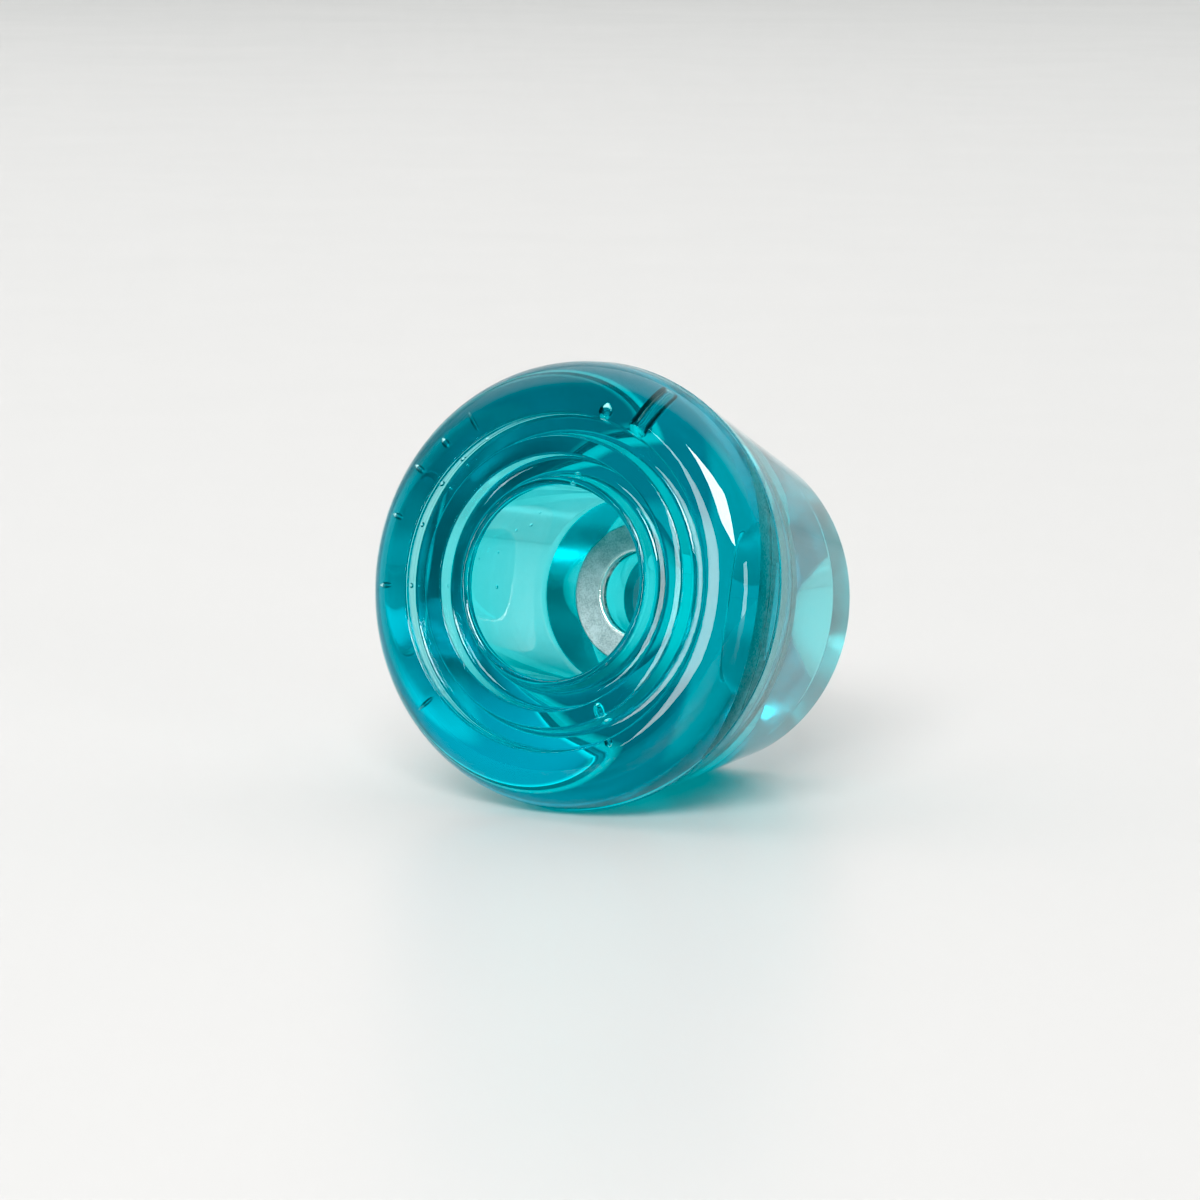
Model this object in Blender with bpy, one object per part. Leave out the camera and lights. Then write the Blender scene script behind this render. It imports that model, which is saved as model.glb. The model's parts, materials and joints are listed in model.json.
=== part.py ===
"""A clear cast cup with a grooved face, a deep centre bore and a steel washer on the bore's floor.

It lies on its side, as it comes to rest on a table: the taper behind the largest diameter touches the
ground along one line. Metres, +Z up. The origin is under the middle of the bounding box, on the ground,
and the grooved face looks along -Y.
"""

import math

import bmesh
import bpy
from mathutils import Vector

# Outside of the casting. A depth is measured from the grooved face along the axis.
BODY_RADIUS = 0.0275
BODY_LENGTH = 0.0405
FACE_RADIUS = 0.0221
SHOULDER_DEPTH = 0.00715
SHOULDER_POWER = 2.35
TAPER = math.radians(11.7)
REAR_CORNER = 0.0015

# Centre bore, and the bolt hole behind it.
BORE_RADIUS = 0.0118
BORE_DEPTH = 0.0218
BORE_MOUTH_ROUND = 0.0006
HOLE_RADIUS = 0.00525
HOLE_EDGE_ROUND = 0.0004

# Two ring grooves in the face. Each is given by the radii of its inner and outer edges.
GROOVES = ((0.0179, 0.0205), (0.01285, 0.0155))
GROOVE_DEPTH = 0.0022
GROOVE_INNER_SLOPE = 0.0004
GROOVE_EDGE_ROUND = 0.0003
GROOVE_FOOT_ROUND = 0.0005

# Steel washer, an M10 one of the small series.
WASHER_RADIUS = 0.009
WASHER_HOLE_RADIUS = 0.00525
WASHER_THICKNESS = 0.0016
WASHER_EDGE_ROUND = 0.0002
CLEARANCE = 0.0003

# Round pieces have this many flats. One lies against the ground and two face +X and -X.
FLATS = 56

TEAL = (0.0, 0.33, 0.42, 1.0)
STEEL = (0.42, 0.44, 0.44, 1.0)


def clear_scene():
    for thing in list(bpy.data.objects):
        bpy.data.objects.remove(thing)


def arc(radius, depth, size, start, end, steps):
    """Points of an arc about (radius, depth). 0 degrees points outwards and 90 towards the rear."""
    points = []
    for step in range(steps + 1):
        angle = math.radians(start + (end - start) * step / steps)
        points.append((radius + size * math.cos(angle), depth + size * math.sin(angle)))
    return points


def shoulder(steps):
    """The domed shoulder, from the face's edge out to the largest radius: a quarter of a superellipse."""
    points = []
    for step in range(steps + 1):
        angle = math.pi / 2 * step / steps
        out = math.sin(angle) ** (2 / SHOULDER_POWER)
        back = 1 - math.cos(angle) ** (2 / SHOULDER_POWER)
        points.append((FACE_RADIUS + (BODY_RADIUS - FACE_RADIUS) * out, SHOULDER_DEPTH * back))
    return points


def rear_corner():
    """The rounded corner between the taper and the flat rear end."""
    depth = BODY_LENGTH - REAR_CORNER
    taper_radius = BODY_RADIUS - (depth - SHOULDER_DEPTH) * math.tan(TAPER)
    radius = taper_radius - REAR_CORNER / math.cos(TAPER)
    return arc(radius, depth, REAR_CORNER, math.degrees(TAPER), 90, 4)


def groove(inner, outer):
    """One groove of the face, from its inner edge to its outer edge."""
    edge = GROOVE_EDGE_ROUND
    foot = GROOVE_FOOT_ROUND
    floor = GROOVE_DEPTH
    inner_wall = inner + GROOVE_INNER_SLOPE
    points = arc(inner - edge, edge, edge, -90, 0, 2)
    points += arc(inner_wall + foot, floor - foot, foot, 180, 90, 3)
    points += arc(outer - foot, floor - foot, foot, 90, 0, 3)
    points += arc(outer + edge, edge, edge, 180, 270, 2)
    return points


def body_outline():
    """(radius, depth) points round the casting's half section: down the outside, then up the bore."""
    foot = BORE_RADIUS - WASHER_RADIUS - CLEARANCE
    pocket_depth = BORE_DEPTH + WASHER_THICKNESS + CLEARANCE
    points = shoulder(9)
    points += rear_corner()
    points += arc(HOLE_RADIUS + HOLE_EDGE_ROUND, BODY_LENGTH - HOLE_EDGE_ROUND, HOLE_EDGE_ROUND, 90, 180, 2)
    points.append((HOLE_RADIUS, pocket_depth))
    points.append((WASHER_RADIUS + CLEARANCE, pocket_depth))
    points += arc(BORE_RADIUS - foot, BORE_DEPTH - foot, foot, 90, 0, 5)
    points += arc(BORE_RADIUS + BORE_MOUTH_ROUND, BORE_MOUTH_ROUND, BORE_MOUTH_ROUND, 180, 270, 3)
    for inner, outer in reversed(GROOVES):
        points += groove(inner, outer)
    return points


def washer_outline():
    """(radius, depth) points round the washer's half section, its corners rounded."""
    edge = WASHER_EDGE_ROUND
    front = BORE_DEPTH + edge
    back = BORE_DEPTH + WASHER_THICKNESS - edge
    points = arc(WASHER_RADIUS - edge, front, edge, -90, 0, 2)
    points += arc(WASHER_RADIUS - edge, back, edge, 0, 90, 2)
    points += arc(WASHER_HOLE_RADIUS + edge, back, edge, 90, 180, 2)
    points += arc(WASHER_HOLE_RADIUS + edge, front, edge, 180, 270, 2)
    return points


def finish(name, color, metallic, roughness):
    material = bpy.data.materials.new(name)
    material.use_nodes = True
    shader = material.node_tree.nodes["Principled BSDF"]
    shader.inputs["Base Color"].default_value = color
    shader.inputs["Metallic"].default_value = metallic
    shader.inputs["Roughness"].default_value = roughness
    material.diffuse_color = color
    return material


def turned(name, outline, material, parent):
    """A ring turned from its half section. The flats touch the true radii from outside."""
    widen = 1 / math.cos(math.pi / FLATS)
    start = math.pi / FLATS
    section = bmesh.new()
    corners = []
    for radius, depth in outline:
        out = radius * widen
        corners.append(section.verts.new((out * math.sin(start), -out * math.cos(start), -depth)))
    edges = [section.edges.new((a, b)) for a, b in zip(corners, corners[1:] + corners[:1])]
    bmesh.ops.spin(
        section,
        geom=corners + edges,
        cent=Vector((0, 0, 0)),
        axis=Vector((0, 0, 1)),
        angle=math.tau,
        steps=FLATS,
        use_merge=True,
    )
    bmesh.ops.recalc_face_normals(section, faces=section.faces)
    mesh = bpy.data.meshes.new(name)
    section.to_mesh(mesh)
    section.free()
    mesh.materials.append(material)
    mesh.shade_smooth()
    mesh.set_sharp_from_angle(angle=math.radians(35))
    piece = bpy.data.objects.new(name, mesh)
    piece.parent = parent
    bpy.context.scene.collection.objects.link(piece)
    return piece


def axis_frame(outline):
    """An empty at the middle of the grooved face. Its +Z looks out of the face along the axis."""
    sine = math.sin(TAPER)
    cosine = math.cos(TAPER)
    front = min(depth * cosine - radius * sine for radius, depth in outline)
    back = max(depth * cosine + radius * sine for radius, depth in outline)
    frame = bpy.data.objects.new("axis_frame", None)
    frame.location = (0, -(front + back) / 2, SHOULDER_DEPTH * sine + BODY_RADIUS * cosine)
    frame.rotation_euler = (math.pi / 2 - TAPER, 0, 0)
    bpy.context.scene.collection.objects.link(frame)
    return frame


def main():
    clear_scene()
    outline = body_outline()
    frame = axis_frame(outline)
    plastic = finish("clear_teal_plastic", TEAL, 0.0, 0.05)
    steel = finish("washer_steel", STEEL, 1.0, 0.45)
    turned("moulded_body", outline, plastic, frame)
    turned("washer", washer_outline(), steel, frame)


main()
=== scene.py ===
"""A clear teal cast cup with a steel washer on the floor of its bore, on a pale studio floor.

The cup lies on its side, on the taper behind its largest diameter. Metres, +Z up. Each turned piece
is modelled upright round the Z axis, its grooved face at Z = 0 and its depth going down, and is then
laid over to where the frame has it.
"""

import json
import math

import bmesh
import bpy
from bpy.props import FloatProperty, FloatVectorProperty, IntProperty, PointerProperty
from mathutils import Matrix, Vector

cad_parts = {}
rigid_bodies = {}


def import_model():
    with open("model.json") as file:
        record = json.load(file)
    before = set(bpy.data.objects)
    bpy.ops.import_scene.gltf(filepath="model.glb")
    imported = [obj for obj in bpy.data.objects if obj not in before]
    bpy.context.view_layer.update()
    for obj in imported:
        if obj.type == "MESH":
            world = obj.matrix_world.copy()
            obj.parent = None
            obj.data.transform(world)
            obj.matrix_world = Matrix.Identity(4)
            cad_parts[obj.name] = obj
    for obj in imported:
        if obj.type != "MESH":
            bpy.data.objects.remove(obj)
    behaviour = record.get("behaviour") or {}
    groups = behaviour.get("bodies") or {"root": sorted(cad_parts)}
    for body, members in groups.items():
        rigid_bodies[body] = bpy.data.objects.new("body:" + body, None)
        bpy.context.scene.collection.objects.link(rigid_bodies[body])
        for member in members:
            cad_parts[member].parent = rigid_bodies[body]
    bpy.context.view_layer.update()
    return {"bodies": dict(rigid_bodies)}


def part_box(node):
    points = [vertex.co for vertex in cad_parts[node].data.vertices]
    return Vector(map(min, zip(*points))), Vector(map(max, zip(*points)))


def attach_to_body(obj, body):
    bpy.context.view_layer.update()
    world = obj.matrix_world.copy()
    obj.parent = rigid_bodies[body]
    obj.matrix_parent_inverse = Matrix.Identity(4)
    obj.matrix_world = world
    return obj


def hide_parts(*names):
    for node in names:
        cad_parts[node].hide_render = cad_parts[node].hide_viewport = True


bl_info = {
    "name": "Clear Cast Cup",
    "version": (1, 0, 0),
    "blender": (4, 5, 0),
    "location": "View3D > Sidebar > Cast Cup",
    "description": "Builds a clear cast cup with its steel washer and a pale studio stage",
    "category": "Add Mesh",
}

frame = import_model()
CASTING_LOW, CASTING_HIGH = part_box("moulded_body")
WASHER_LOW, WASHER_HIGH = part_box("washer")
BODY = next(iter(frame["bodies"]))
CASTING_RADIUS = (CASTING_HIGH.x - CASTING_LOW.x) / 2
WASHER_RADIUS = (WASHER_HIGH.x - WASHER_LOW.x) / 2

MM_PER_METRE = 1000
# Points nearer than this are one point.
SAME_PLACE = 1e-6
ROUND_STEPS = 6

# The casting round the washer: the rounding of the hole's rear edge, how far the seat lies behind the
# washer's front, how far the lip reaches in over the washer's edge and stands proud of its front, and
# the rounding where the sloping foot meets the bore's wall.
HOLE_EDGE_ROUND = 0.0004
SEAT_DEPTH = 0.0008
LIP_REACH = 0.0003
LIP_RISE = 0.0001
FOOT_BEND = 0.0007

# The frosted band along the parting line: how far inside the largest radius it starts and is full, how
# far off the line it is full and ends, the scale of its fine teeth and their height.
BAND_START = 0.0012
BAND_FULL = 0.0004
FROST_FULL = 0.00006
FROST_END = 0.0003
TEETH_ROUND = 110.0
TEETH_DEEP = 900.0
TEETH_HEIGHT = 0.00006

# The painted shade on the rear end: how far before the end it starts and is full, and how softly it fades.
SHADOW_START = 0.00012
SHADOW_FULL = 0.00004
SHADOW_FADE = 0.001

# How far outside the washer's hole the painted highlight on its edge is brightest and ends.
HIGHLIGHT_FULL = 0.00015
HIGHLIGHT_END = 0.00055

# A bubble one unit across: where its tip starts and how far the tip is narrowed.
TIP_START = 0.3
TIP_WIDTH = 0.8
# The pocket one unit long: the width of its outer end, where its ends are and their rounding.
OUTER_WIDTH = 0.86
POCKET_END = 0.499
POCKET_ROUND = 0.13

# The floor, and the wall drawn up from its far edge.
FLOOR_SIZE = 8
FLOOR_DRAWN_IN = 0.9
WALL_HEIGHT = 2.5
WALL_BEND = 0.5
WALL_BEND_STEPS = 24

# How far the camera is moved to the right and down, the nearest that it sees and its sensor's width.
CAMERA_RIGHT = 0.00583
CAMERA_DOWN = 0.0022
CAMERA_NEAREST = 0.01
SENSOR_MM = 36

CLEAR_BOUNCES = 24
MIRROR_BOUNCES = 12

# Each air bubble: its angle round the axis in degrees, and in millimetres its distance from the axis,
# its depth behind the grooved face, its width and its length along the radius. The places come from a
# separate ray-tracing program and were then rounded.
BUBBLES = (
    (-175, 24.5, 4, 0.75, 1.1),
    (165, 24.5, 4, 0.75, 1.0),
    (150, 24.5, 4, 0.85, 1.1),
    (139, 24, 4, 0.95, 1.1),
    (128, 23.5, 4, 0.65, 2.1),
    (-137, 23.5, 4, 0.6, 2.0),
    (80, 21.5, 4, 1.9, 2.0),
    (89, 13, 4, 0.9, 1.1),
    (-65, 16.5, 4, 1.5, 2.2),
    (-65, 20.5, 4, 1.1, 1.4),
    (145, 13, 11, 0.6, 0.6),
    (150, 13, 8.5, 0.5, 0.6),
    (165, 12.5, 6.5, 0.35, 0.35),
    (-175, 13, 8, 0.55, 0.55),
    (135, 13, 10.5, 0.35, 0.5),
    (170, 12.5, 2.5, 0.25, 0.3),
    (140, 21, 6, 0.5, 0.5),
    (150, 21, 6, 0.4, 0.5),
    (-175, 21.5, 6, 0.55, 0.6),
)
# The one long air pocket: the same, but its length runs along its own slant.
POCKET = (66, 23, 4.5, 2.8, 5.2)


def length(name, description, default):
    return FloatProperty(name=name, description=description, default=default, precision=5, unit="LENGTH")


def angle(name, description, default):
    return FloatProperty(name=name, description=description, default=math.radians(default), subtype="ANGLE")


def share(name, description, default):
    return FloatProperty(name=name, description=description, default=default, subtype="FACTOR")


def color(name, description, default):
    return FloatVectorProperty(
        name=name, description=description, default=default, size=len(default), min=0, max=1, subtype="COLOR"
    )


def number(name, description, default):
    return FloatProperty(name=name, description=description, default=default)


def light_place(name, degrees):
    """Where a light stands and how large it looks. A positive azimuth is to the camera's right."""
    return FloatVectorProperty(
        name=name,
        description="Azimuth from the camera's side, elevation, width and height as seen from the cup",
        default=[math.radians(part) for part in degrees],
        size=4,
        unit="ROTATION",
    )


class CastingSizes(bpy.types.PropertyGroup):
    """Sizes of the clear casting. Depths are measured from the grooved face."""

    radius: length("Radius", "Largest radius, at the mould's parting line", CASTING_RADIUS)
    body_length: length("Length", "Length from the grooved face to the rear end", 0.0405)
    face_radius: length("Face radius", "Radius of the flat face inside the domed shoulder", 0.0221)
    shoulder_depth: length("Shoulder depth", "Depth at which the shoulder is widest", 0.00715)
    shoulder_power: number("Shoulder fullness", "Power of the shoulder's curve: 2 is an ellipse", 2.35)
    taper: angle("Taper", "Slope of the side behind the parting line", 11.7)
    rear_corner: length("Rear corner", "Rounding of the rear end's corner", 0.0012)
    flash_height: length("Flash height", "How far the parting line stands proud", 0.00005)
    flash_width: length("Flash width", "Width of the parting line", 0.0002)
    bore_radius: length("Bore radius", "Radius of the centre bore", 0.0118)
    bore_depth: length("Bore depth", "Depth of the washer's front", 0.0218)
    bore_round: length("Bore round", "Width of the bore's sloping foot, without its lip", 0.0028)
    bore_foot: length("Bore foot", "How far the sloping foot reaches up the bore's wall", 0.0033)
    bore_mouth: length("Bore mouth", "Rounding of the bore's mouth", 0.0006)
    hole_radius: length("Hole radius", "Radius of the bolt hole behind the washer", 0.00525)
    outer_groove: length("Outer groove", "Radius of the outer groove's outer wall", 0.0205)
    outer_ridge: length("Outer ridge", "Radius of the outer edge of the ridge between the grooves", 0.0179)
    inner_groove: length("Inner groove", "Radius of the inner groove's outer wall", 0.0155)
    inner_ridge: length("Inner ridge", "Radius of the outer edge of the rim round the bore", 0.01285)
    groove_depth: length("Groove depth", "Depth of both ring grooves", 0.0022)
    groove_slope: length("Groove slope", "How far a groove's inner wall runs outwards", 0.0004)
    edge_round: length("Edge rounding", "Rounding of the grooves' edges", 0.0003)
    foot_round: length("Foot rounding", "Rounding at the foot of the grooves' walls", 0.0005)
    pocket_slant: angle("Pocket slant", "Slant of the long air pocket away from the axis", 123)
    steps: IntProperty(name="Steps round", description="Faces round each turned piece", default=256)


class WasherSizes(bpy.types.PropertyGroup):
    """Sizes of the steel washer."""

    radius: length("Radius", "Outer radius", WASHER_RADIUS)
    hole_radius: length("Hole radius", "Radius of the hole", 0.00525)
    thickness: length("Thickness", "Thickness", 0.0016)
    edge_round: length("Edge rounding", "Rounding of all its corners", 0.0002)


class PlasticLook(bpy.types.PropertyGroup):
    """Finish of the clear plastic."""

    tint: color("Tint", "Light that passes through", (0.40, 0.94, 0.955))
    density: number("Density", "How strongly the plastic is coloured", 200)
    index: number("Refraction", "Index of refraction", 1.5)
    seam_frost: share("Seam frost", "Roughness along the parting line", 0.2)
    rear_frost: share("Rear frost", "Roughness of the painted film", 0.12)
    # Painted shade on the rear end: dark teal in the middle and darker in a ring round it.
    film: color("Painted film", "Colour of the thin film in the middle of the rear end", (0.1, 0.42, 0.5))
    shadow_ring: color("Painted ring", "Colour of the darker film round it", (0.02, 0.135, 0.21))
    shadow_step: length("Shadow step", "Radius where the painted film grows darker", 0.0115)
    shadow_radius: length("Shadow radius", "How far the painted film reaches from the axis", 0.0197)
    wave: length("Wave", "Height of the slow waves in the moulded surface", 0.0000004)


class SteelLook(bpy.types.PropertyGroup):
    """Finish of the washer's plated steel."""

    light: color("Light", "Colour of the high spots", (0.57, 0.61, 0.615))
    dark: color("Dark", "Colour in the pits", (0.35, 0.385, 0.39))
    # Painted highlight: a near-white colour on the edge of the hole.
    highlighted: color("Highlight", "Colour of the rubbed edge of the hole", (0.85, 0.83, 0.80))
    roughness: share("Roughness", "Roughness of the flat faces", 0.48)
    pit: length("Pits", "Depth of the pits", 0.00004)


class StageSettings(bpy.types.PropertyGroup):
    """Floor, lights and camera."""

    floor: color("Floor", "Colour of the floor and backdrop", (0.505, 0.501, 0.493))
    azimuth: angle("Camera azimuth", "How far the camera stands round from the cup's axis, towards +X", 29.53)
    elevation: angle("Camera elevation", "How far the camera looks down", 9.25)
    distance: length("Camera distance", "Distance from the camera to the grooved face", 0.604)
    lens: number("Lens", "Focal length in millimetres", 150)
    key_place: light_place("Key light", (-10, 36.5, 32, 19))
    key: number("Key brightness", "Brightness of the key light's face", 23)
    left_place: light_place("Left light", (-53, 12, 10, 7))
    left: number("Left brightness", "Brightness of the left light's face", 8)
    right_place: light_place("Right light", (36, 9.5, 12, 21))
    right: number("Right brightness", "Brightness of the right light's face", 7)
    light_distance: length("Light distance", "Distance from the cup to every light", 12)
    red_floor: share("Red floor", "Level of red light that the camera shows as none", 0.042)
    world: number("Fill", "Strength of the light from all round", 0.89)
    sky: number("Overhead fill", "Times that the fill is stronger overhead", 2.0)
    front: number("Front fill", "Strength of the light from the camera's side", 0.17)


def lay_matrix(size):
    """Lays an upright turned piece over on its taper, where the frame has it."""
    sine, cosine = math.sin(size.taper), math.cos(size.taper)
    front = min(depth * cosine - radius * sine for radius, depth, _ in shoulder(size))
    place = Vector((0, CASTING_LOW.y - front, size.shoulder_depth * sine + size.radius * cosine))
    return Matrix.Translation(place) @ Matrix.Rotation(math.pi / 2 - size.taper, 4, "X")


def start_clean():
    if bpy.context.mode != "OBJECT":
        bpy.ops.object.mode_set(mode="OBJECT")
    bpy.ops.object.select_all(action="DESELECT")


def select_points(test):
    """Selects only the points of the edited mesh whose place passes the test."""
    bpy.ops.mesh.select_mode(type="VERT")
    mesh = bpy.context.edit_object.data
    points = bmesh.from_edit_mesh(mesh)
    for point in points.verts:
        point.select_set(test(point.co))
    points.select_flush_mode()
    bmesh.update_edit_mesh(mesh)


def near(place):
    return lambda point: (point - place).length < SAME_PLACE


def shoulder(size, steps=28):
    """Corners of the domed shoulder, from the face's edge out to the parting line."""
    rim = size.radius - size.flash_height
    corners = []
    for step in range(steps + 1):
        turn = math.pi / 2 * step / steps
        out = math.sin(turn) ** (2 / size.shoulder_power)
        back = 1 - math.cos(turn) ** (2 / size.shoulder_power)
        corners.append((size.face_radius + (rim - size.face_radius) * out, size.shoulder_depth * back, 0))
    return corners


def groove_corners(size, inner, outer):
    """Corners of one groove of the face, from its outer edge to its inner edge."""
    return [
        (outer, 0, size.edge_round),
        (outer, size.groove_depth, size.foot_round),
        (inner + size.groove_slope, size.groove_depth, size.foot_round),
        (inner, 0, size.edge_round),
    ]


def casting_corners(size):
    """(radius, depth, rounding) round the casting's half section: down the outside, then up the bore."""
    rim = size.radius - size.flash_height
    slope = math.tan(size.taper)
    half = size.flash_width / 2
    rear = rim - (size.body_length - size.shoulder_depth) * slope
    seat = size.bore_depth + SEAT_DEPTH
    lip = size.bore_radius - size.bore_round - LIP_REACH
    corners = shoulder(size)
    corners[-1] = (rim, size.shoulder_depth - half, 0)
    corners += [
        (size.radius, size.shoulder_depth, 0),
        (rim - half * slope, size.shoulder_depth + half, 0),
        (rear, size.body_length, size.rear_corner),
        (size.hole_radius, size.body_length, HOLE_EDGE_ROUND),
        (size.hole_radius, seat, 0),
        (lip, seat, 0),
        (lip, size.bore_depth - LIP_RISE, 0),
        (size.bore_radius, size.bore_depth - size.bore_foot, FOOT_BEND),
        (size.bore_radius, 0, size.bore_mouth),
    ]
    corners += reversed(groove_corners(size, size.inner_ridge, size.inner_groove))
    corners += reversed(groove_corners(size, size.outer_ridge, size.outer_groove))
    return corners


def washer_corners(size, front):
    """Corners of the washer's half section."""
    back = front + size.thickness
    return [
        (size.radius, front, size.edge_round),
        (size.radius, back, size.edge_round),
        (size.hole_radius, back, size.edge_round),
        (size.hole_radius, front, size.edge_round),
    ]


def turned(name, corners, steps):
    """Draws a half section by extruding one point from corner to corner, rounds it and spins it."""
    start_clean()
    bpy.ops.mesh.primitive_plane_add(size=0.001, location=(0, 0, 0))
    piece = bpy.context.active_object
    piece.name = piece.data.name = name
    places = [Vector((radius, 0, -depth)) for radius, depth, _ in corners]
    bpy.ops.object.mode_set(mode="EDIT")
    bpy.ops.mesh.select_mode(type="VERT")
    bpy.ops.mesh.merge(type="CENTER")
    bpy.ops.transform.translate(value=places[0])
    for here, there in zip(places, places[1:]):
        bpy.ops.mesh.extrude_vertices_move(TRANSFORM_OT_translate={"value": there - here})
    select_points(lambda point: near(places[0])(point) or near(places[-1])(point))
    bpy.ops.mesh.edge_face_add()
    for place, (_, _, rounding) in zip(places, corners):
        if rounding:
            select_points(near(place))
            bpy.ops.mesh.bevel(
                offset=rounding, offset_type="OFFSET", segments=ROUND_STEPS, profile=0.5, affect="VERTICES"
            )
    bpy.ops.mesh.select_all(action="SELECT")
    bpy.ops.mesh.spin(steps=steps, angle=math.tau, use_auto_merge=True, center=(0, 0, 0), axis=(0, 0, 1))
    bpy.ops.mesh.select_all(action="SELECT")
    bpy.ops.mesh.remove_doubles(threshold=SAME_PLACE)
    bpy.ops.mesh.normals_make_consistent(inside=False)
    return piece


def lay_down(piece, size):
    """Applies the piece's place in the frame and its even shading."""
    start_clean()
    piece.select_set(True)
    bpy.context.view_layer.objects.active = piece
    piece.matrix_world = lay_matrix(size)
    bpy.ops.object.transform_apply(location=True, rotation=True, scale=True)
    bpy.ops.object.shade_smooth()
    piece.modifiers.new("even_shading", "WEIGHTED_NORMAL").keep_sharp = True
    bpy.ops.object.modifier_apply(modifier="even_shading")


def attach(piece, node, material):
    """Puts a finished piece in the frame in place of its CAD node."""
    piece.data.materials.clear()
    piece.data.materials.append(material)
    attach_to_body(piece, BODY)
    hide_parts(node)


def put(tree, kind, inputs=(), **settings):
    """Adds a node. An input is given a value, or the socket that feeds it."""
    node = tree.nodes.new(kind)
    for name, value in settings.items():
        setattr(node, name, value)
    for name, value in dict(inputs).items():
        if isinstance(value, bpy.types.NodeSocket):
            tree.links.new(value, node.inputs[name])
        else:
            node.inputs[name].default_value = value
    return node


def calc(tree, operation, *values):
    return put(tree, "ShaderNodeMath", enumerate(values), operation=operation).outputs[0]


def ramp(tree, value, low, high, to_low=0.0, to_high=1.0):
    """The value between low and high, smoothly turned into one from to_low to to_high."""
    inputs = {"Value": value, "From Min": low, "From Max": high, "To Min": to_low, "To Max": to_high}
    return put(tree, "ShaderNodeMapRange", inputs, interpolation_type="SMOOTHSTEP").outputs[0]


def noise(tree, place, scale, detail=2.0, roughness=0.5):
    inputs = {"Vector": place, "Scale": scale, "Detail": detail, "Roughness": roughness}
    return put(tree, "ShaderNodeTexNoise", inputs).outputs["Fac"]


def new_group(name, inputs, outputs):
    """An empty node group with its ends."""
    group = bpy.data.node_groups.new(name, "ShaderNodeTree")
    for label, kind in inputs:
        group.interface.new_socket(label, in_out="INPUT", socket_type=kind)
    for label, kind in outputs:
        group.interface.new_socket(label, in_out="OUTPUT", socket_type=kind)
    return group, group.nodes.new("NodeGroupInput"), group.nodes.new("NodeGroupOutput")


def turned_place_group(size):
    """Where a point lies on a turned piece: its way round, its radius and its depth."""
    group = bpy.data.node_groups.get("turned_place")
    if group:
        return group
    lay = lay_matrix(size)
    outputs = (("Round", "NodeSocketFloat"), ("Radius", "NodeSocketFloat"), ("Depth", "NodeSocketFloat"))
    group, start, end = new_group("turned_place", (("Place", "NodeSocketVector"),), outputs)
    turn = {"Vector": start.outputs[0], "Location": lay.translation, "Rotation": lay.to_euler()}
    upright = put(group, "ShaderNodeMapping", turn, vector_type="TEXTURE").outputs[0]
    parts = put(group, "ShaderNodeSeparateXYZ", {0: upright})
    across, up = parts.outputs["X"], parts.outputs["Y"]
    across_squared = calc(group, "POWER", across, 2.0)
    up_squared = calc(group, "POWER", up, 2.0)
    radius = calc(group, "SQRT", calc(group, "ADD", across_squared, up_squared))
    group.links.new(calc(group, "ARCTAN2", up, across), end.inputs["Round"])
    group.links.new(radius, end.inputs["Radius"])
    group.links.new(calc(group, "MULTIPLY", parts.outputs["Z"], -1.0), end.inputs["Depth"])
    return group


def handled_group():
    """Handling marks: faint smudges, and hair scratches that show as a mask from 0 to 1."""
    group = bpy.data.node_groups.get("handled")
    if group:
        return group
    inputs = (("Place", "NodeSocketVector"), ("Smudge", "NodeSocketFloat"), ("Scratch", "NodeSocketFloat"))
    group, start, end = new_group("handled", inputs, (("Mask", "NodeSocketFloat"),))
    place = start.outputs["Place"]
    cloudy = ramp(group, noise(group, place, scale=140, detail=4, roughness=0.6), low=0.5, high=0.75)
    stretch = {"Vector": place, "Rotation": (0.6, 0.2, 0.9), "Scale": (60, 2200, 900)}
    stretched = put(group, "ShaderNodeMapping", stretch).outputs[0]
    hairs = ramp(group, noise(group, stretched, scale=1, detail=1), low=0.72, high=0.78)
    smudge = calc(group, "MULTIPLY", cloudy, start.outputs["Smudge"])
    scratch = calc(group, "MULTIPLY", hairs, start.outputs["Scratch"])
    group.links.new(calc(group, "MAXIMUM", smudge, scratch), end.inputs["Mask"])
    return group


def new_material(name):
    material = bpy.data.materials.new(name)
    material.use_nodes = True
    tree = material.node_tree
    shader = tree.nodes["Principled BSDF"]
    place = tree.nodes.new("ShaderNodeTexCoord").outputs["Object"]
    return material, tree, shader, place


def turned_place(tree, size, place):
    group = put(tree, "ShaderNodeGroup", node_tree=turned_place_group(size))
    tree.links.new(place, group.inputs[0])
    return group.outputs["Round"], group.outputs["Radius"], group.outputs["Depth"]


def handled(tree, place, smudge, scratch):
    group = put(tree, "ShaderNodeGroup", node_tree=handled_group())
    tree.links.new(place, group.inputs["Place"])
    group.inputs["Smudge"].default_value = smudge
    group.inputs["Scratch"].default_value = scratch
    return group.outputs["Mask"]


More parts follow.
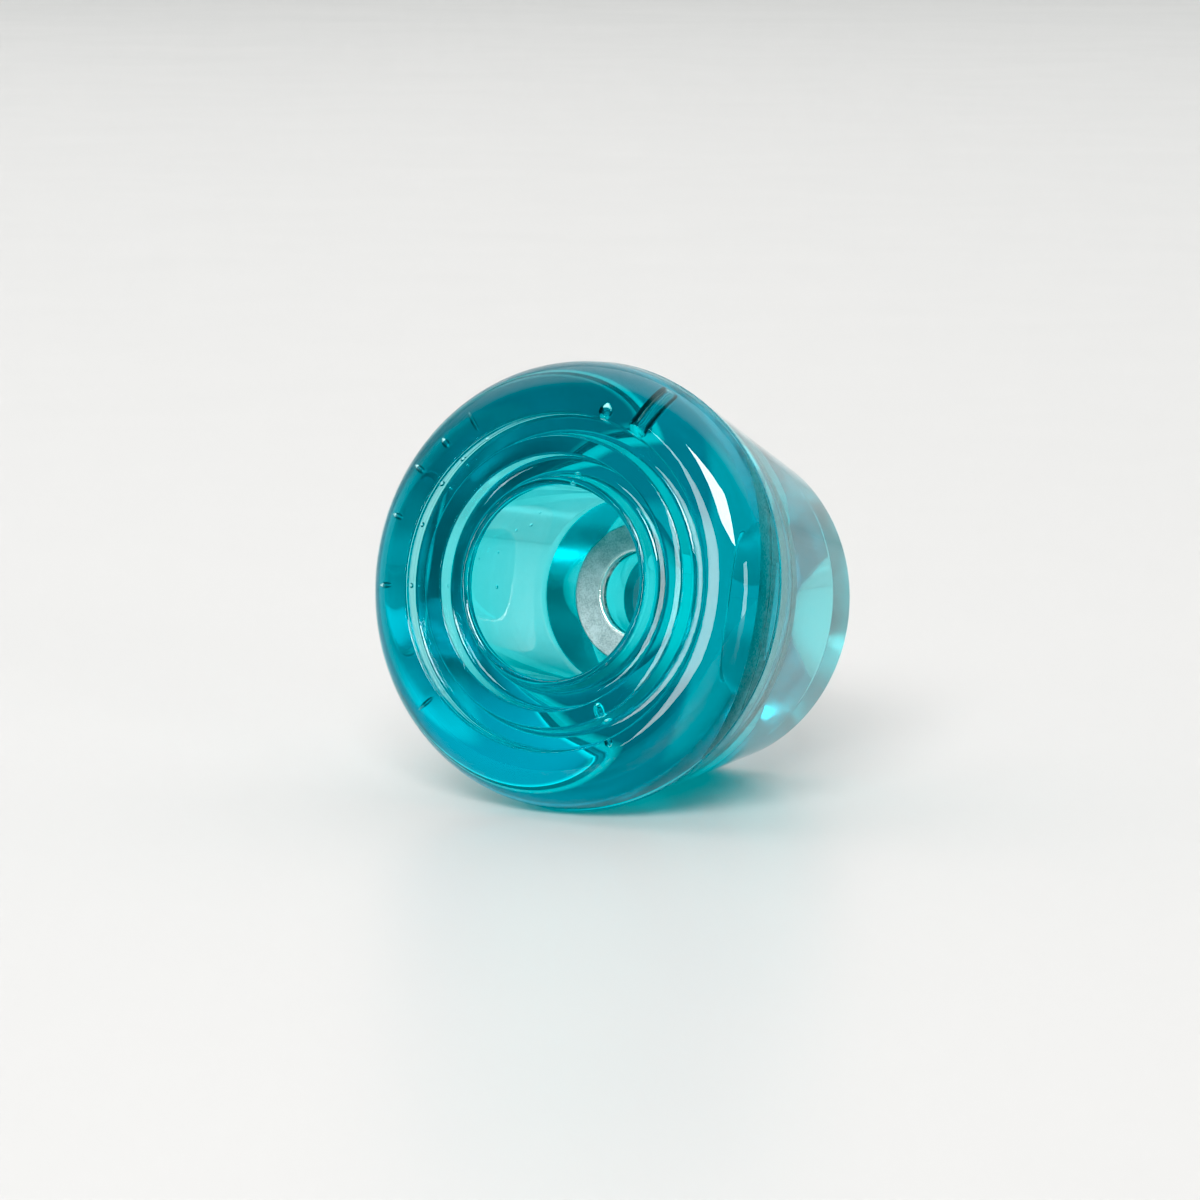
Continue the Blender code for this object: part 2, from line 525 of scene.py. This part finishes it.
def plastic_material(look, size):
    """Clear teal plastic: polished, in slow waves, frosted along the parting line, with painted shade on the
    rear end.
    """
    material, tree, shader, place = new_material("clear_teal_plastic")
    around, radius, depth = turned_place(tree, size, place)
    off_seam = calc(tree, "ABSOLUTE", calc(tree, "SUBTRACT", depth, size.shoulder_depth))
    outside = ramp(tree, radius, size.radius - BAND_START, size.radius - BAND_FULL)
    seam = calc(tree, "MULTIPLY", ramp(tree, off_seam, FROST_FULL, FROST_END, to_low=1, to_high=0), outside)
    round_scaled = calc(tree, "MULTIPLY", around, TEETH_ROUND)
    depth_scaled = calc(tree, "MULTIPLY", depth, TEETH_DEEP)
    ticks_at = put(tree, "ShaderNodeCombineXYZ", {0: round_scaled, 1: depth_scaled})
    ticks = noise(tree, ticks_at.outputs[0], scale=1, detail=2)
    waves = noise(tree, place, scale=90, detail=1)
    marks = handled(tree, place, smudge=0.02, scratch=0.03)
    # Painted shade: the rear end is coloured dark in the middle and darker outside the step radius, in place
    # of the dark zones seen through the plastic.
    rear = ramp(tree, depth, size.body_length - SHADOW_START, size.body_length - SHADOW_FULL)
    within = ramp(tree, radius, look.shadow_radius - SHADOW_FADE, look.shadow_radius, to_low=1, to_high=0)
    shadowed = calc(tree, "MULTIPLY", rear, within)
    outer = ramp(tree, radius, look.shadow_step - SHADOW_FADE, look.shadow_step + SHADOW_FADE)
    shadow_mix = {0: outer, 6: (*look.film, 1), 7: (*look.shadow_ring, 1)}
    film = put(tree, "ShaderNodeMix", shadow_mix, data_type="RGBA")
    color_mix = {0: shadowed, 6: (1, 1, 1, 1), 7: film.outputs[2]}
    color_at = put(tree, "ShaderNodeMix", color_mix, data_type="RGBA")
    tree.links.new(color_at.outputs[2], shader.inputs["Base Color"])
    seam_rough = calc(tree, "MULTIPLY", seam, look.seam_frost)
    rear_rough = calc(tree, "MULTIPLY", shadowed, look.rear_frost)
    frost = calc(tree, "ADD", seam_rough, rear_rough)
    tree.links.new(calc(tree, "ADD", frost, marks), shader.inputs["Roughness"])
    teeth_bump = {"Strength": 1.0, "Distance": TEETH_HEIGHT, "Height": calc(tree, "MULTIPLY", seam, ticks)}
    teeth = put(tree, "ShaderNodeBump", teeth_bump).outputs[0]
    wave_bump = {"Strength": 1.0, "Distance": look.wave, "Height": waves, "Normal": teeth}
    slow = put(tree, "ShaderNodeBump", wave_bump)
    tree.links.new(slow.outputs[0], shader.inputs["Normal"])
    shader.inputs["Transmission Weight"].default_value = 1
    shader.inputs["IOR"].default_value = look.index
    tinted = put(tree, "ShaderNodeVolumeAbsorption", {"Color": (*look.tint, 1), "Density": look.density})
    tree.links.new(tinted.outputs[0], tree.nodes["Material Output"].inputs["Volume"])
    return material


def steel_material(look, size, washer):
    """Matte plated steel with fine pits, a painted highlight and a smoother finish round the hole."""
    material, tree, shader, place = new_material("washer_steel")
    _, radius, _ = turned_place(tree, size, place)
    pits = noise(tree, place, scale=5200, detail=3, roughness=0.6)
    clouds = noise(tree, place, scale=700, detail=3, roughness=0.6)
    # Painted highlight: a near-white colour in a band round the hole's edge, where the finish is also
    # smoother.
    highlight_full, highlight_end = washer.hole_radius + HIGHLIGHT_FULL, washer.hole_radius + HIGHLIGHT_END
    highlighted = ramp(tree, radius, highlight_full, highlight_end, to_low=1, to_high=0)
    marks = handled(tree, place, smudge=0.1, scratch=0.2)
    pit_share = calc(tree, "MULTIPLY", pits, 0.6)
    cloud_share = calc(tree, "MULTIPLY", clouds, 0.4)
    high = ramp(tree, calc(tree, "ADD", pit_share, cloud_share), low=0.35, high=0.62)
    flat_mix = {0: high, 6: (*look.dark, 1), 7: (*look.light, 1)}
    flat = put(tree, "ShaderNodeMix", flat_mix, data_type="RGBA")
    highlight_mix = {0: highlighted, 6: flat.outputs[2], 7: (*look.highlighted, 1)}
    with_highlight = put(tree, "ShaderNodeMix", highlight_mix, data_type="RGBA")
    tree.links.new(with_highlight.outputs[2], shader.inputs["Base Color"])
    unhighlighted = calc(tree, "SUBTRACT", 1.0, highlighted)
    rough = calc(tree, "ADD", calc(tree, "MULTIPLY", unhighlighted, look.roughness), 0.2)
    tree.links.new(calc(tree, "ADD", rough, calc(tree, "MULTIPLY", marks, 0.3)), shader.inputs["Roughness"])
    bump = put(tree, "ShaderNodeBump", {"Strength": 1.0, "Distance": look.pit, "Height": pits})
    tree.links.new(bump.outputs[0], shader.inputs["Normal"])
    shader.inputs["Metallic"].default_value = 1
    return material


def floor_material(look):
    """Pale smooth paint with a faint sheen."""
    material, tree, shader, place = new_material("pale_floor")
    shader.inputs["Base Color"].default_value = (*look.floor, 1)
    clouds = ramp(tree, noise(tree, place, scale=6, detail=3), low=0.3, high=0.7, to_low=0.32, to_high=0.4)
    tree.links.new(clouds, shader.inputs["Roughness"])
    return material


class CASTCUP_OT_casting(bpy.types.Operator):
    """Adds the clear casting: domed shoulder, grooved face, bore, bolt hole and parting line"""

    bl_idname = "castcup.casting"
    bl_label = "Clear Casting"

    def execute(self, context):
        size = context.scene.castcup_casting
        piece = turned("clear_casting", casting_corners(size), size.steps)
        lay_down(piece, size)
        plastic = plastic_material(context.scene.castcup_plastic, size)
        attach(piece, "moulded_body", plastic)
        return {"FINISHED"}


class CASTCUP_OT_bubbles(bpy.types.Operator):
    """Adds the air bubbles and the long air pocket shut inside the clear casting"""

    bl_idname = "castcup.bubbles"
    bl_label = "Air Bubbles"

    def execute(self, context):
        size = context.scene.castcup_casting
        casting = bpy.data.objects["clear_casting"]
        start_clean()
        bpy.ops.mesh.primitive_uv_sphere_add(segments=20, ring_count=12, radius=0.5)
        bubble = context.active_object
        bpy.ops.object.mode_set(mode="EDIT")
        select_points(lambda point: point.z > TIP_START)
        bpy.ops.transform.resize(value=(TIP_WIDTH, TIP_WIDTH, 1.0))
        start_clean()
        bpy.ops.mesh.primitive_cylinder_add(vertices=32, radius=0.5, depth=1)
        pocket = context.active_object
        bpy.ops.object.mode_set(mode="EDIT")
        select_points(lambda point: point.z > 0)
        bpy.ops.transform.resize(value=(OUTER_WIDTH, OUTER_WIDTH, 1.0))
        for end in (1, -1):
            select_points(lambda point: point.z * end > POCKET_END)
            bpy.ops.mesh.bevel(
                offset=POCKET_ROUND, offset_type="OFFSET", segments=ROUND_STEPS, affect="EDGES"
            )
        start_clean()
        for place in BUBBLES:
            self.shut_in(bubble.copy(), place, math.pi / 2, size)
        self.shut_in(pocket.copy(), POCKET, size.pocket_slant, size)
        for first in (bubble, pocket):
            bpy.data.objects.remove(first)
        start_clean()
        for piece in bpy.data.objects:
            piece.select_set(piece.name.startswith("air_") or piece == casting)
        context.view_layer.objects.active = casting
        bpy.ops.object.join()
        return {"FINISHED"}

    def shut_in(self, air, place, slant, size):
        """Places one cavity, its faces turned towards the air inside it."""
        turn = math.radians(place[0])
        radius, depth, width, long = (part / MM_PER_METRE for part in place[1:])
        air.name, air.data = "air_1", air.data.copy()
        bpy.context.collection.objects.link(air)
        spot = Matrix.Rotation(turn, 4, "Z") @ Matrix.Translation((radius, 0, -depth))
        shape = Matrix.Rotation(slant, 4, "Y") @ Matrix.Diagonal((width, width, long, 1))
        air.matrix_world = lay_matrix(size) @ spot @ shape
        start_clean()
        air.select_set(True)
        bpy.context.view_layer.objects.active = air
        bpy.ops.object.transform_apply(location=True, rotation=True, scale=True)
        bpy.ops.object.shade_smooth()
        air.data.materials.append(bpy.data.objects["clear_casting"].data.materials[0])
        bpy.ops.object.mode_set(mode="EDIT")
        bpy.ops.mesh.select_all(action="SELECT")
        bpy.ops.mesh.normals_make_consistent(inside=True)
        bpy.ops.object.mode_set(mode="OBJECT")


class CASTCUP_OT_washer(bpy.types.Operator):
    """Adds the steel washer on the floor of the bore"""

    bl_idname = "castcup.washer"
    bl_label = "Steel Washer"

    def execute(self, context):
        size = context.scene.castcup_casting
        washer = context.scene.castcup_washer
        piece = turned("steel_washer", washer_corners(washer, size.bore_depth), size.steps)
        lay_down(piece, size)
        steel = steel_material(context.scene.castcup_steel, size, washer)
        attach(piece, "washer", steel)
        return {"FINISHED"}


def add_light(name, ahead, right, place, brightness, distance):
    """A soft rectangular light that looks as large and as bright from the cup as it is told."""
    azimuth, elevation, width, height = place
    level = right * math.sin(azimuth) - ahead * math.cos(azimuth)
    towards = level * math.cos(elevation) + Vector((0, 0, math.sin(elevation)))
    bpy.ops.object.light_add(type="AREA", location=towards * distance)
    light = bpy.context.active_object
    light.name = light.data.name = name
    light.rotation_euler = towards.to_track_quat("Z", "Y").to_euler()
    light.data.shape = "RECTANGLE"
    light.data.size = 2 * distance * math.tan(width / 2)
    light.data.size_y = 2 * distance * math.tan(height / 2)
    light.data.energy = brightness * math.pi * light.data.size * light.data.size_y
    # The light's own face isn't seen through the plastic.
    light.visible_transmission = False


class CASTCUP_OT_stage(bpy.types.Operator):
    """Adds the pale floor with its curved backdrop, the soft lights and the camera"""

    bl_idname = "castcup.stage"
    bl_label = "Studio Stage"

    def execute(self, context):
        look = context.scene.castcup_stage
        size = context.scene.castcup_casting
        ahead = Vector((-math.sin(look.azimuth), math.cos(look.azimuth), 0))
        right = Vector((math.cos(look.azimuth), math.sin(look.azimuth), 0))
        up = Vector((0, 0, 1))
        self.floor(look, ahead)
        for name in ("key", "left", "right"):
            place, brightness = getattr(look, name + "_place"), getattr(look, name)
            add_light(name + "_light", ahead, right, place, brightness, look.light_distance)
        self.fill(context, look, ahead)
        self.camera(context, look, lay_matrix(size).translation, ahead, right, up)
        context.scene.view_settings.view_transform = "Standard"
        context.scene.view_settings.use_curve_mapping = True
        context.scene.view_settings.curve_mapping.black_level = (look.red_floor, 0, 0)
        context.scene.view_settings.curve_mapping.update()
        context.scene.cycles.max_bounces = CLEAR_BOUNCES
        context.scene.cycles.transmission_bounces = CLEAR_BOUNCES
        context.scene.cycles.glossy_bounces = MIRROR_BOUNCES
        return {"FINISHED"}

    def floor(self, look, ahead):
        """A flat floor whose far edge is drawn up into a wall and rounded."""
        start_clean()
        bpy.ops.mesh.primitive_plane_add(size=FLOOR_SIZE, location=(0, 0, 0))
        floor = bpy.context.active_object
        floor.name = floor.data.name = "studio_floor"
        bpy.ops.object.mode_set(mode="EDIT")
        select_points(lambda point: point.y > 0)
        bpy.ops.transform.translate(value=(0, -FLOOR_DRAWN_IN, 0))
        bpy.ops.mesh.extrude_edges_move(TRANSFORM_OT_translate={"value": (0, 0, WALL_HEIGHT)})
        select_points(lambda point: point.y > 0 and point.z < WALL_HEIGHT / 2)
        bpy.ops.mesh.bevel(offset=WALL_BEND, offset_type="OFFSET", segments=WALL_BEND_STEPS, affect="EDGES")
        start_clean()
        floor.select_set(True)
        floor.rotation_euler = (0, 0, math.atan2(-ahead.x, ahead.y))
        bpy.ops.object.transform_apply(rotation=True)
        bpy.ops.object.shade_smooth()
        floor.data.materials.append(floor_material(look))

    def fill(self, context, look, ahead):
        """Light from all round, stronger overhead and weaker from the camera's side."""
        world = bpy.data.worlds.new("studio_fill")
        world.use_nodes = True
        tree = world.node_tree
        tree.nodes["Background"].inputs["Color"].default_value = (1, 1, 1, 1)
        outward = put(tree, "ShaderNodeTexCoord").outputs["Generated"]
        facing = put(tree, "ShaderNodeVectorMath", {0: outward, 1: tuple(-ahead)}, operation="DOT_PRODUCT")
        overhead = put(tree, "ShaderNodeSeparateXYZ", {0: outward}).outputs["Z"]
        stronger = ramp(tree, overhead, low=0.4, high=0.75, to_low=1, to_high=look.sky)
        level = calc(tree, "MULTIPLY", stronger, look.world)
        weakest = look.front / look.world
        shade = ramp(tree, facing.outputs["Value"], low=-0.1, high=0.35, to_low=1, to_high=weakest)
        strength = calc(tree, "MULTIPLY", level, shade)
        tree.links.new(strength, tree.nodes["Background"].inputs["Strength"])
        context.scene.world = world

    def camera(self, context, look, target, ahead, right, up):
        view = ahead * math.cos(look.elevation) - up * math.sin(look.elevation)
        head = ahead * math.sin(look.elevation) + up * math.cos(look.elevation)
        place = target + right * CAMERA_RIGHT - head * CAMERA_DOWN - view * look.distance
        bpy.ops.object.camera_add()
        camera = context.active_object
        camera.name = camera.data.name = "camera"
        camera.matrix_world = Matrix.Translation(place) @ Matrix((right, head, -view)).transposed().to_4x4()
        camera.data.sensor_width = SENSOR_MM
        camera.data.lens = look.lens
        camera.data.clip_start = CAMERA_NEAREST
        context.scene.camera = camera


class CASTCUP_PT_panel(bpy.types.Panel):
    """Lists the pieces in the 3D view's sidebar"""

    bl_idname = "CASTCUP_PT_panel"
    bl_label = "Cast Cup"
    bl_space_type = "VIEW_3D"
    bl_region_type = "UI"
    bl_category = "Cast Cup"

    def draw(self, context):
        for operator, groups in LISTED:
            box = self.layout.box()
            box.operator(operator)
            for name in groups:
                settings = getattr(context.scene, name)
                for prop in settings.bl_rna.properties:
                    if prop.identifier not in ("rna_type", "name"):
                        box.prop(settings, prop.identifier)


LISTED = (
    ("castcup.casting", ("castcup_casting", "castcup_plastic")),
    ("castcup.bubbles", ()),
    ("castcup.washer", ("castcup_washer", "castcup_steel")),
    ("castcup.stage", ("castcup_stage",)),
)
SETTINGS = {
    "castcup_casting": CastingSizes,
    "castcup_washer": WasherSizes,
    "castcup_plastic": PlasticLook,
    "castcup_steel": SteelLook,
    "castcup_stage": StageSettings,
}
CLASSES = (*SETTINGS.values(), CASTCUP_OT_casting, CASTCUP_OT_bubbles, CASTCUP_OT_washer)
CLASSES += (CASTCUP_OT_stage, CASTCUP_PT_panel)


def register():
    for cls in CLASSES:
        bpy.utils.register_class(cls)
    for name, group in SETTINGS.items():
        setattr(bpy.types.Scene, name, PointerProperty(type=group))


def unregister():
    for name in SETTINGS:
        delattr(bpy.types.Scene, name)
    for cls in reversed(CLASSES):
        bpy.utils.unregister_class(cls)


def main():
    register()
    bpy.ops.castcup.casting()
    bpy.ops.castcup.bubbles()
    bpy.ops.castcup.washer()
    bpy.ops.castcup.stage()


if __name__ == "__main__":
    main()
